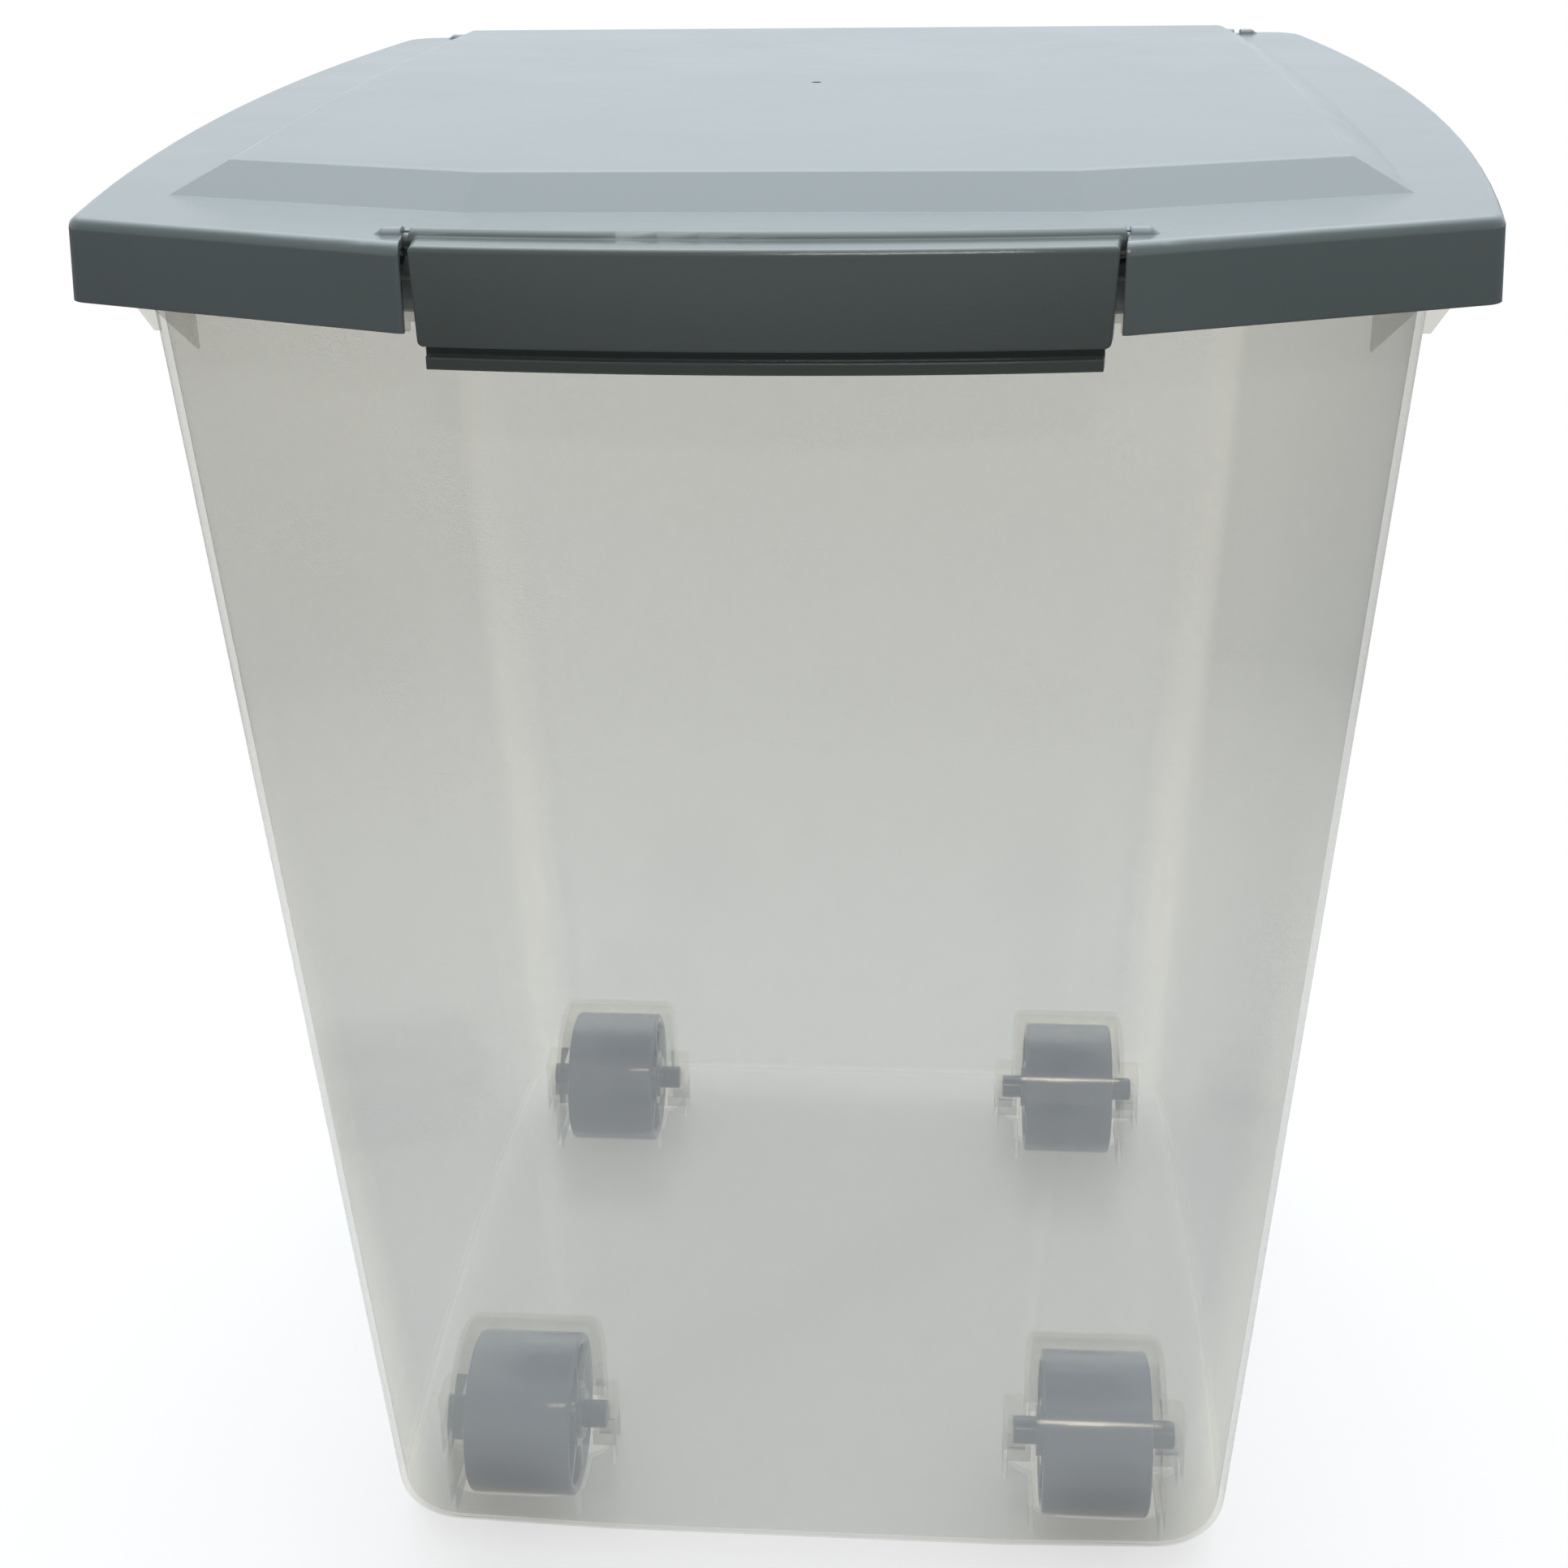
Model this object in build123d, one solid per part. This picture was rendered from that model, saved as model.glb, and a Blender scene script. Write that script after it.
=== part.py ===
"""Wheeled pet food storage container: a clear tapered bin on four wheels, with a
hinged lid, a front latch and a rear hinge clip.

Millimetres, +Z up, the front of the container towards -Y.  The model is drawn
with Y = 0 midway between the front and rear axles, and moved at the end so that
the origin is under the middle of its footprint.
"""
import os
from math import cos, radians, sin

from build123d import *

# Lid outline in plan, at the edge of its flat margin
LID_CORNER_X = 178.0       # front corners
LID_REAR_X = 184.0         # rear corners
LID_SIDE_BOW = 16.0        # how far the sides bow out past the corners
LID_BULGE_Y = 10.0         # where they are widest
LID_FLAT_X = 86.0          # half width of the straight middle of the front
LID_FLAT_Y = -239.5
LID_FACET_DEPTH = 34.5     # from the straight middle back to the front corners
LID_REAR_Y = 215.0
LID_FRONT_CORNER_R = 6.0
LID_REAR_CORNER_R = 14.0

# Bin shell
RIM_TOP_Z = 466.0          # top of the bin's wall, where the seal presses
BIN_BOTTOM_Z = 10.0        # underside of the bin's floor
BIN_INSET = 14.5           # from the lid's edge in to the bin's wall, at the rim
SIDE_TAPER = 15.5          # how far the walls draw in from the rim to the floor
FRONT_TAPER = 67.0
REAR_TAPER = 43.5
FLOOR_FACET_DEPTH = 3.0    # from the floor's straight front back to its corners
FLOOR_FLAT_SHORTER = 16.0  # the floor's straight front against the lid's, each side
FLOOR_SIDE_BOW = 5.0
FLOOR_BULGE_Y = 0.0
FLOOR_CORNER_R = 28.0
FLOOR_EDGE_R = 6.0         # rounding under the bin, where its walls meet the floor
FLOOR_EDGE_STEPS = 4       # flats that make up the rounding
RIM_CORNER_R = 20.0
BIN_FACET_R = 90.0         # soft bend where the bin's front facets meet
BIN_WALL = 2.2
FLOOR_THICK = 2.6

# Flange round the bin's rim, and the webs under its corners
FLANGE_DROP = 5.0          # from the rim down to the flange
FLANGE_INSET = 4.4         # from the lid's edge in to the flange's edge
FLANGE_THICK = 2.4
FLANGE_LIP = 2.4           # height of the turned-down edge
FLANGE_LIP_WALL = 1.8
WEB_THICK = 1.8
WEB_DROP = 15.0
WEB_FROM_CORNER = 28.5     # facet webs, in from the lid's corners
WEB_FROM_WALL = 9.5        # facet webs, forward from the corner of the bin's wall
WEB_FROM_END = 12.0        # side webs, from the bin's front or rear wall
WEB_FOOT_OUT = 4.8         # a side web's foot, out from the corner of the bin's wall
WEB_SIDE_REACH = 9.7       # from a side web's foot out to its top
WEB_ROOT = 8.0             # how far a side web runs in to meet the wall

# Lid seal and its channel
SEAL_WIDTH = 4.0
SEAL_HEIGHT = 4.3
SEAL_GAP = 0.3             # resting clearance over the rim
CHANNEL_WALL = 1.8
CHANNEL_SIDE_GAP = 0.2
CHANNEL_LIFT = 1.4         # channel walls stop this far above the rim
PLUG_RIB_WALL = 1.8        # rib that centres the lid in the bin's mouth
PLUG_RIB_DEPTH = 9.0       # below the rim
PLUG_RIB_GAP = 3.0         # from the bin's wall

# Barrels of the front latch and the rear clip, which lie over ledges in the lid
LEDGE_THICK = 1.4          # over the seal
BARREL_LIFT = 0.8          # from a ledge up to the barrel
BARREL_R = 3.5
BARREL_SINK = 1.7          # barrel's centre below the lid's margin
BARREL_GAP = 1.0           # air beside a barrel
FRONT_BARREL_OUT = 2.4     # barrels' centres outside the bin's wall
REAR_BARREL_OUT = 6.9
PIN_R = 2.0                # stub pins moulded on the barrels' ends
PIN_FIT = 0.08
PIN_REACH = 4.0            # length inside the lid's housing
HOUSING_LENGTH = 4.6       # round part of a pin housing
HOUSING_NOSE = 3.2         # its tapered end
HOUSING_TIP_R = 1.2
RECESS_WALL = 2.2          # upright wall behind the front ledge

# Lid shell
LID_WALL = 2.4
SKIRT_OVERLAP = 4.0        # how far the skirt hangs below the flange's top
SKIRT_DRAFT = 1.4          # how far the skirt flares out at its lower edge
LID_EDGE_R = 3.0           # rounding between the margin and the skirt
PLATEAU_RISE = 8.0         # raised middle of the lid
PLATEAU_SIDE_MARGIN = 31.0
PLATEAU_SIDE_BOW = 4.0
PLATEAU_CORNER_MARGIN = 43.5
PLATEAU_FLAT_SHORTER = 10.0
PLATEAU_FRONT_MARGIN = 55.5
PLATEAU_REAR_MARGIN = 54.0
BEVEL_RUN = 15.5           # plan width of the slope around the raised flat
PLATEAU_EDGE = 0.8         # half width of the narrow flat that softens its edge
GATE_R = 1.6               # round mark of the mould's gate, in the middle of the lid
GATE_DEPTH = 0.3
GATE_FROM_REAR = 224.0
SWING_CUT_MARGIN = 29.0    # near the rear the skirt is cut away, so that the lid can swing
SWING_CUT_RUN = 12.0       # length of the cut's slope
SWING_CUT_SKIRT = 6.0      # height of the skirt that is left behind the slope

# Front latch
LATCH_OPENING_MARGIN = 1.0  # from the end of the straight front in to the opening's edge
OPENING_SPLAY = 0.13       # sideways slope of the ends of the opening and of the latch
LATCH_LEFT_PLAY = 2.4      # the latch sits to one side, as far as its pins let it
LATCH_RIGHT_PLAY = 1.2
LATCH_PROUD = 5.0          # how far the foot of the latch's ends stands out from the lid
LATCH_BOW = 5.0            # how much further out its middle stands
LATCH_DRAFT = 2.0          # how far the panel leans back from its foot to its top
LATCH_END_DRAFT = 1.0      # how far each end of the panel draws in towards its foot
LATCH_WALL = 2.2
LATCH_EDGE_R = 1.4
CHEEK_DEPTH = 5.6          # the latch's end walls, from its face back
STUB_ROOT = 5.0            # how far the latch's stub pins run into its ends
PANEL_DROP = 2.2           # the panel's lower edge below the skirt's
GROOVE_HEIGHT = 2.7
GROOVE_DEPTH = 3.0
LIP_HEIGHT = 2.9
LIP_SIDE_INSET = 1.6
LIP_FACE_INSET = 0.6
SHELF_INSET = 1.1          # how deep the shelf and the catch sit in the panel's wall
CATCH_THICK = 1.6
CATCH_GAP = 0.4            # from the catch to the bin's flange

# Rear hinge clip
CLIP_FROM_CORNER = 26.0    # clip's ends, in from the lid's rear corners
CLIP_SIDE_GAP = 2.5
CLIP_PROUD = 2.5           # how far the clip's back stands out behind the lid
CLIP_WALL = 2.4
CLIP_EDGE_R = 2.2
CLIP_DROP = 9.6            # clip's lower edge below the flange
CLIP_RIB_THICK = 1.8
CLIP_FIT = 0.15            # between the clip's ribs and the flange they grip
CLIP_WALL_GAP = 2.4        # between the ribs' ends and the bin's wall

# Wheels
WHEEL_R = 29.0             # also the height of the axles over the floor
TREAD_WIDTH = 38.0
TREAD_EDGE_R = 1.5
RIM_WALL = 4.0             # under the tread
HUB_R = 9.0
HUB_STEP = 1.6             # how far the hub stands out of the tread's sides
HUB_WALL = 3.0             # ring of the recess's floor left round the hub
RECESS_DEPTH = 9.0
SPOKES = 6
SPOKE_THICK = 2.2
AXLE_R = 5.0
AXLE_BORE_FIT = 0.08
AXLE_END_CHAMFER = 0.6

# Wheel wells, moulded up from the bin's floor
WELL_GAP = 4.0             # over the tread
WELL_SIDE_GAP = 1.2        # beside the hub
WELL_WALL = 2.0
WELL_EDGE_R = 3.0
WELL_FROM_FRONT = 6.5      # from the floor's front edge back to the front wells
WELL_FROM_REAR = 5.5
POD_FROM_SIDE = 12.7       # from the floor's corner in to the outer pods
POD_REACH = 8.5            # axle pods stand this far out of the well
POD_HALF_DEPTH = 8.0
POD_RISE = 9.5             # pod's top over the axle's centre
POD_WALL = 1.8
POD_EDGE_R = 1.5
AXLE_SLOT_FIT = 0.05
AXLE_END_GAP = 1.6
SNAP_NIB = 0.7
SNAP_NIB_HEIGHT = 2.0
SNAP_NIB_DROP = 5.4        # from the axle's centre down to the nibs' middle

# Cutters run this far past the faces that they cut, or past the whole container
OVERSHOOT = 1.0
FAR_OUT = 500.0

# Heights that follow
FLANGE_TOP_Z = RIM_TOP_Z - FLANGE_DROP
FLANGE_LOW_Z = FLANGE_TOP_Z - FLANGE_THICK
SEAL_LOW_Z = RIM_TOP_Z + SEAL_GAP
SEAL_TOP_Z = SEAL_LOW_Z + SEAL_HEIGHT
LEDGE_TOP_Z = SEAL_TOP_Z + LEDGE_THICK
BARREL_Z = LEDGE_TOP_Z + BARREL_LIFT + BARREL_R
LID_TOP_Z = BARREL_Z + BARREL_SINK
SKIRT_BOTTOM_Z = FLANGE_TOP_Z - SKIRT_OVERLAP
PANEL_BOTTOM_Z = SKIRT_BOTTOM_Z - PANEL_DROP
ABOVE_ALL = LID_TOP_Z + FAR_OUT

# Places that follow, front to back
LID_CORNER_Y = LID_FLAT_Y + LID_FACET_DEPTH
FRONT_WALL_Y = LID_FLAT_Y + BIN_INSET
REAR_WALL_Y = LID_REAR_Y - BIN_INSET
FLOOR_FRONT_Y = FRONT_WALL_Y + FRONT_TAPER
FLOOR_REAR_Y = REAR_WALL_Y - REAR_TAPER
FRONT_BARREL_Y = FRONT_WALL_Y - FRONT_BARREL_OUT
REAR_BARREL_Y = REAR_WALL_Y + REAR_BARREL_OUT
LATCH_END_Y = LID_FLAT_Y - LATCH_PROUD
LATCH_FRONT_Y = LATCH_END_Y - LATCH_BOW
CLIP_BACK_Y = LID_REAR_Y + CLIP_PROUD
FOOTPRINT_SHIFT = -(LATCH_FRONT_Y + CLIP_BACK_Y) / 2

# Places that follow, sideways
FLOOR_CORNER_X = LID_CORNER_X - BIN_INSET - SIDE_TAPER
LATCH_OPENING_X = LID_FLAT_X - LATCH_OPENING_MARGIN
LATCH_HOUSING_X = LATCH_OPENING_X + OPENING_SPLAY * (FRONT_BARREL_Y - LID_FLAT_Y)
CLIP_HALF_WIDTH = LID_REAR_X - CLIP_FROM_CORNER
CLIP_OPENING_X = CLIP_HALF_WIDTH + CLIP_SIDE_GAP

# Wheel wells, about the axle's centre
WELL_R = WHEEL_R + WELL_GAP + WELL_WALL
WELL_INNER_HALF = TREAD_WIDTH / 2 + HUB_STEP + WELL_SIDE_GAP
WELL_OUTER_HALF = WELL_INNER_HALF + WELL_WALL
POD_OUTER_HALF = WELL_OUTER_HALF + POD_REACH
AXLE_HALF = POD_OUTER_HALF - POD_WALL - AXLE_END_GAP
FRONT_AXLE_Y = FLOOR_FRONT_Y + WELL_FROM_FRONT + WELL_R
REAR_AXLE_Y = FLOOR_REAR_Y - WELL_FROM_REAR - WELL_R
TRACK_HALF = FLOOR_CORNER_X - POD_FROM_SIDE - POD_OUTER_HALF


def half_space(z_low, z_high):
    """A slab that takes in the whole container between two heights."""
    return Pos(0, 0, (z_low + z_high) / 2) * Box(2 * FAR_OUT, 2 * FAR_OUT, z_high - z_low)


def band(x_low, x_high, y_low, y_high, z_low, z_high):
    """A box given by its limits."""
    centre = Pos((x_low + x_high) / 2, (y_low + y_high) / 2, (z_low + z_high) / 2)
    return centre * Box(x_high - x_low, y_high - y_low, z_high - z_low)


def plan(flat_x, flat_y, corner_x, corner_y, bulge, rear_x, rear_y, inset=0.0, radii=None):
    """Plan outline: straight middle of the front, two facets back to the front
    corners, bowed sides and a straight rear.  It is drawn in by inset."""
    front_left = (-corner_x, corner_y)
    front_right = (corner_x, corner_y)
    rear_left = (-rear_x, rear_y)
    rear_right = (rear_x, rear_y)
    edges = [
        Line(front_left, (-flat_x, flat_y)),
        Line((-flat_x, flat_y), (flat_x, flat_y)),
        Line((flat_x, flat_y), front_right),
        ThreePointArc(front_right, (bulge[0], bulge[1]), rear_right),
        Line(rear_right, rear_left),
        ThreePointArc(rear_left, (-bulge[0], bulge[1]), front_left),
    ]
    face = make_face(edges)
    if inset:
        face = offset(face, amount=-inset, kind=Kind.INTERSECTION)
    if radii:
        front_radius, rear_radius, facet_radius = radii
        by_y = face.vertices().sort_by(Axis.Y)
        face = fillet(by_y[2:4], front_radius)
        by_y = face.vertices().sort_by(Axis.Y)
        face = fillet(by_y[-2:], rear_radius)
        if facet_radius:
            by_y = face.vertices().sort_by(Axis.Y)
            face = fillet(by_y[:2], facet_radius)
    return face


def lid_plan(inset=0.0, radii=(LID_FRONT_CORNER_R, LID_REAR_CORNER_R, 0)):
    """The lid's outline, or one that runs a steady distance inside it."""
    bulge_x = (LID_CORNER_X + LID_REAR_X) / 2 + LID_SIDE_BOW
    return plan(LID_FLAT_X, LID_FLAT_Y, LID_CORNER_X, LID_CORNER_Y, (bulge_x, LID_BULGE_Y),
                LID_REAR_X, LID_REAR_Y, inset, radii)


def rim_plan(inset=0.0):
    """The bin's outline at its rim, or one that runs inside or outside it."""
    radius = RIM_CORNER_R - inset
    return lid_plan(BIN_INSET + inset, (radius, radius, BIN_FACET_R - inset))


def floor_plan(inset=0.0):
    """The bin's outline at its underside."""
    radius = FLOOR_CORNER_R - inset
    flat_x = LID_FLAT_X - FLOOR_FLAT_SHORTER
    bulge = (FLOOR_CORNER_X + FLOOR_SIDE_BOW, FLOOR_BULGE_Y)
    corner_y = FLOOR_FRONT_Y + FLOOR_FACET_DEPTH
    return plan(flat_x, FLOOR_FRONT_Y, FLOOR_CORNER_X, corner_y, bulge,
                FLOOR_CORNER_X, FLOOR_REAR_Y, inset, (radius, radius, BIN_FACET_R - inset))


def prism(face, z_low, z_high):
    """A plan outline raised into a solid between two heights."""
    return extrude(Pos(0, 0, z_low) * face, amount=z_high - z_low, dir=(0, 0, 1))


def ring(outer, inner, z_low, z_high):
    """The band between two plan outlines."""
    return prism(outer, z_low, z_high) - prism(inner, z_low, z_high)


def profile_along_x(points, x_low, x_high):
    """A closed (y, z) profile drawn out along X."""
    outline = Plane.YZ * make_face(Polyline(*points, close=True))
    return Pos(x_low, 0, 0) * extrude(outline, amount=x_high - x_low, dir=(1, 0, 0))


def cylinder_along_x(radius, x_low, x_high, y, z):
    """A round bar along X."""
    return Pos((x_low + x_high) / 2, y, z) * Rot(0, 90, 0) * Cylinder(radius, x_high - x_low)


def bin_walls(inset):
    """The bin's tapered form with its rounded foot, drawn in by inset."""
    sections = []
    for step in range(FLOOR_EDGE_STEPS + 1):
        angle = radians(90 * step / FLOOR_EDGE_STEPS)
        drawn_in = FLOOR_EDGE_R * (1 - sin(angle))
        height = BIN_BOTTOM_Z + FLOOR_EDGE_R * (1 - cos(angle))
        sections.append(Pos(0, 0, height) * floor_plan(inset + drawn_in))
    sections.append(Pos(0, 0, RIM_TOP_Z) * rim_plan(inset))
    return loft(sections, ruled=True)


def web(x_y_z_points, y):
    """One triangular web, square to the front of the container."""
    face = Plane.XZ * make_face(Polyline(*x_y_z_points, close=True))
    return Pos(0, y, 0) * extrude(face, WEB_THICK / 2, both=True)


def corner_webs():
    """Triangular webs that brace the flange: one beside each corner of the bin, and one
    on each facet of its front."""
    webs = []
    inner_x = LID_CORNER_X - WEB_FROM_CORNER
    foot_z = FLANGE_LOW_Z - WEB_DROP
    corner_wall_y = LID_CORNER_Y + BIN_INSET
    corners = ((LID_CORNER_X, corner_wall_y + WEB_FROM_END), (LID_REAR_X, REAR_WALL_Y - WEB_FROM_END))
    for side in (-1, 1):
        facet = [(side * inner_x, FLANGE_LOW_Z), (side * inner_x, foot_z),
                 (side * (inner_x + WEB_DROP), FLANGE_LOW_Z)]
        webs.append(web(facet, corner_wall_y - WEB_FROM_WALL))
        for corner_x, y in corners:
            foot_x = corner_x - BIN_INSET + WEB_FOOT_OUT
            beside = [(side * (foot_x - WEB_ROOT), FLANGE_LOW_Z), (side * (foot_x - WEB_ROOT), foot_z),
                      (side * foot_x, foot_z), (side * (foot_x + WEB_SIDE_REACH), FLANGE_LOW_Z)]
            webs.append(web(beside, y))
    return webs


def wheel_positions():
    """Name, x and y of each wheel."""
    places = []
    for end, y in (("front", FRONT_AXLE_Y), ("rear", REAR_AXLE_Y)):
        for side, x in (("left", -TRACK_HALF), ("right", TRACK_HALF)):
            places.append((f"{end}_{side}", x, y))
    return places


def arch(radius, half_width, z_low):
    """A round-topped block about an axle at the origin, its foot at z_low."""
    drum = cylinder_along_x(radius, -half_width, half_width, 0, 0)
    legs = band(-half_width, half_width, -radius, radius, z_low, 0)
    return drum + legs - half_space(z_low - FAR_OUT, z_low)


def well_block():
    """Outside of one wheel well with its two axle pods, about the axle's centre."""
    foot = BIN_BOTTOM_Z - WHEEL_R
    block = arch(WELL_R, WELL_OUTER_HALF, foot)
    crown = block.edges().filter_by(GeomType.CIRCLE)
    block = fillet(crown, WELL_EDGE_R)
    pods = band(-POD_OUTER_HALF, POD_OUTER_HALF, -POD_HALF_DEPTH, POD_HALF_DEPTH, foot, POD_RISE)
    pods = fillet(pods.edges().filter_by(Axis.Z), POD_EDGE_R)
    return block + pods


def well_hollow():
    """Room for one wheel, and the slots that its axle snaps into from below."""
    below = BIN_BOTTOM_Z - WHEEL_R - OVERSHOOT
    hollow = arch(WHEEL_R + WELL_GAP, WELL_INNER_HALF, below)
    slot_r = AXLE_R + AXLE_SLOT_FIT
    slot_half = POD_OUTER_HALF - POD_WALL
    slot = cylinder_along_x(slot_r, -slot_half, slot_half, 0, 0)
    slot += band(-slot_half, slot_half, -slot_r, slot_r, below, 0)
    nib_low = -SNAP_NIB_DROP - SNAP_NIB_HEIGHT / 2
    for y_low, y_high in ((-slot_r, -slot_r + SNAP_NIB), (slot_r - SNAP_NIB, slot_r)):
        for x_low, x_high in ((-slot_half, -WELL_INNER_HALF), (WELL_INNER_HALF, slot_half)):
            slot -= band(x_low, x_high, y_low, y_high, nib_low, nib_low + SNAP_NIB_HEIGHT)
    return hollow + slot


def storage_bin():
    """Clear bin: tapered walls, flange with a turned-down edge, webs, wheel wells."""
    outer = bin_walls(0.0)
    inner = bin_walls(BIN_WALL) & half_space(BIN_BOTTOM_Z + FLOOR_THICK, ABOVE_ALL)

    edge = lid_plan(FLANGE_INSET)
    edge_inside = lid_plan(FLANGE_INSET + FLANGE_LIP_WALL)
    flange = prism(edge, FLANGE_LOW_Z, FLANGE_TOP_Z)
    lip = ring(edge, edge_inside, FLANGE_LOW_Z - FLANGE_LIP, FLANGE_LOW_Z)
    lip -= band(-LATCH_OPENING_X, LATCH_OPENING_X, -FAR_OUT, 0, 0, ABOVE_ALL)
    lip -= band(-CLIP_OPENING_X, CLIP_OPENING_X, 0, FAR_OUT, 0, ABOVE_ALL)

    body = outer + flange + lip
    under_flange = prism(edge, 0, FLANGE_LOW_Z)
    for brace in corner_webs():
        body += (brace & under_flange) - outer
    body -= inner
    block = well_block()
    hollow = well_hollow()
    for _, x, y in wheel_positions():
        body += Pos(x, y, WHEEL_R) * block
    for _, x, y in wheel_positions():
        body -= Pos(x, y, WHEEL_R) * hollow
    return body


def plateau(inset, z_foot):
    """The raised middle of the lid with its sloping sides, drawn in by inset."""
    side_x = LID_CORNER_X - PLATEAU_SIDE_MARGIN
    top = plan(
        LID_FLAT_X - PLATEAU_FLAT_SHORTER, LID_FLAT_Y + PLATEAU_FRONT_MARGIN,
        side_x, LID_CORNER_Y + PLATEAU_CORNER_MARGIN, (side_x + PLATEAU_SIDE_BOW, 0),
        side_x, LID_REAR_Y - PLATEAU_REAR_MARGIN, inset)
    levels = ((BEVEL_RUN, 0.0), (PLATEAU_EDGE, PLATEAU_RISE * (1 - PLATEAU_EDGE / BEVEL_RUN)),
              (-PLATEAU_EDGE, PLATEAU_RISE))
    sections = [Pos(0, 0, z_foot + rise) * offset(top, amount=out, kind=Kind.INTERSECTION)
                for out, rise in levels]
    return loft(sections, ruled=True)


def skirted(inset, z_top):
    """The lid's outline from a height down to the skirt's flared edge, drawn in by inset."""
    flared = offset(lid_plan(inset), amount=SKIRT_DRAFT, kind=Kind.INTERSECTION)
    return loft([Pos(0, 0, SKIRT_BOTTOM_Z) * flared, Pos(0, 0, z_top) * lid_plan(inset)], ruled=True)


def pin_housing(side, opening_x, y):
    """Bullet-shaped housing on the lid's margin, beside an opening."""
    end = opening_x + HOUSING_LENGTH
    nose_face = Plane.YZ * Circle(BARREL_R)
    tip_face = Pos(HOUSING_NOSE, 0, 0) * (Plane.YZ * Circle(HOUSING_TIP_R))
    whole = cylinder_along_x(BARREL_R, opening_x, end, y, BARREL_Z)
    whole += Pos(end, y, BARREL_Z) * loft([nose_face, tip_face])
    return whole if side > 0 else mirror(whole, about=Plane.YZ)


def opening_half(y):
    """Half the width of the latch's opening, which widens towards its back edge."""
    return LATCH_OPENING_X + OPENING_SPLAY * (y - LID_FLAT_Y)


def latch_room(back_y, z_low, z_high):
    """Room for the latch in the lid's front, back to a given line."""
    front_y = LID_FLAT_Y - SKIRT_DRAFT - OVERSHOOT
    front_x = opening_half(front_y)
    back_x = opening_half(back_y)
    outline = Polyline((-front_x, front_y), (front_x, front_y), (back_x, back_y), (-back_x, back_y),
                       close=True)
    return prism(make_face(outline), z_low, z_high)


def lid():
    """Lid shell: margin, raised middle, flared skirt, seal channel and pin housings."""
    under = LID_TOP_Z - LID_WALL
    shell = skirted(0.0, LID_TOP_Z)
    shell = fillet(shell.edges().group_by(Axis.Z)[-1], LID_EDGE_R)
    shell += plateau(0.0, LID_TOP_Z)
    shell -= skirted(LID_WALL, under) + plateau(LID_WALL, under)
    plateau_top = LID_TOP_Z + PLATEAU_RISE
    gate = Cylinder(GATE_R, 2 * GATE_DEPTH)
    shell -= Pos(0, LID_REAR_Y - GATE_FROM_REAR, plateau_top) * gate

    middle = BIN_WALL / 2
    groove_half = SEAL_WIDTH / 2 + CHANNEL_SIDE_GAP
    channel_half = groove_half + CHANNEL_WALL
    channel_low = RIM_TOP_Z + CHANNEL_LIFT
    channel = ring(rim_plan(middle - channel_half), rim_plan(middle + channel_half), channel_low, under)
    groove = ring(rim_plan(middle - groove_half), rim_plan(middle + groove_half),
                  channel_low - OVERSHOOT, SEAL_TOP_Z)
    plug_out = BIN_WALL + PLUG_RIB_GAP
    plug = ring(rim_plan(plug_out), rim_plan(plug_out + PLUG_RIB_WALL), RIM_TOP_Z - PLUG_RIB_DEPTH, under)

    # Openings for the latch in front and the clip behind, and the cut for the swing
    latch_edge = FRONT_BARREL_Y + BARREL_R + BARREL_GAP
    clip_edge = REAR_BARREL_Y - BARREL_R - BARREL_GAP
    clip_room = (-CLIP_OPENING_X, CLIP_OPENING_X, clip_edge, FAR_OUT)
    cut_y = LID_REAR_Y - SWING_CUT_MARGIN
    cut_z = LID_TOP_Z - SWING_CUT_SKIRT
    swing_cut = profile_along_x(
        [(cut_y, 0), (cut_y, SKIRT_BOTTOM_Z), (cut_y + SWING_CUT_RUN, cut_z), (FAR_OUT, cut_z),
         (FAR_OUT, 0)], -FAR_OUT, FAR_OUT)
    shell -= latch_room(latch_edge, 0, ABOVE_ALL) + band(*clip_room, 0, ABOVE_ALL) + swing_cut

    # Sunken ledge under the latch's barrel, with the upright wall behind it
    wall_back = latch_edge + RECESS_WALL
    ledge = prism(rim_plan(middle - channel_half), SEAL_TOP_Z, LEDGE_TOP_Z)
    ledge &= latch_room(wall_back, 0, ABOVE_ALL)
    upright = latch_room(wall_back, SEAL_TOP_Z, under) - latch_room(latch_edge, 0, ABOVE_ALL)
    body = shell + channel + plug + ledge + upright
    body -= latch_room(latch_edge, LEDGE_TOP_Z, ABOVE_ALL) + band(*clip_room, LEDGE_TOP_Z, ABOVE_ALL)
    for opening_x, y in ((LATCH_HOUSING_X, FRONT_BARREL_Y), (CLIP_OPENING_X, REAR_BARREL_Y)):
        for side in (-1, 1):
            body += pin_housing(side, opening_x, y)
            near, far = side * (opening_x - OVERSHOOT), side * (opening_x + PIN_REACH + PIN_FIT)
            body -= cylinder_along_x(PIN_R + PIN_FIT, min(near, far), max(near, far), y, BARREL_Z)
    return body - groove


def lid_seal():
    """Soft ring in the lid's channel, just over the bin's rim."""
    middle = BIN_WALL / 2
    return ring(rim_plan(middle - SEAL_WIDTH / 2), rim_plan(middle + SEAL_WIDTH / 2),
                SEAL_LOW_Z, SEAL_TOP_Z)


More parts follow.
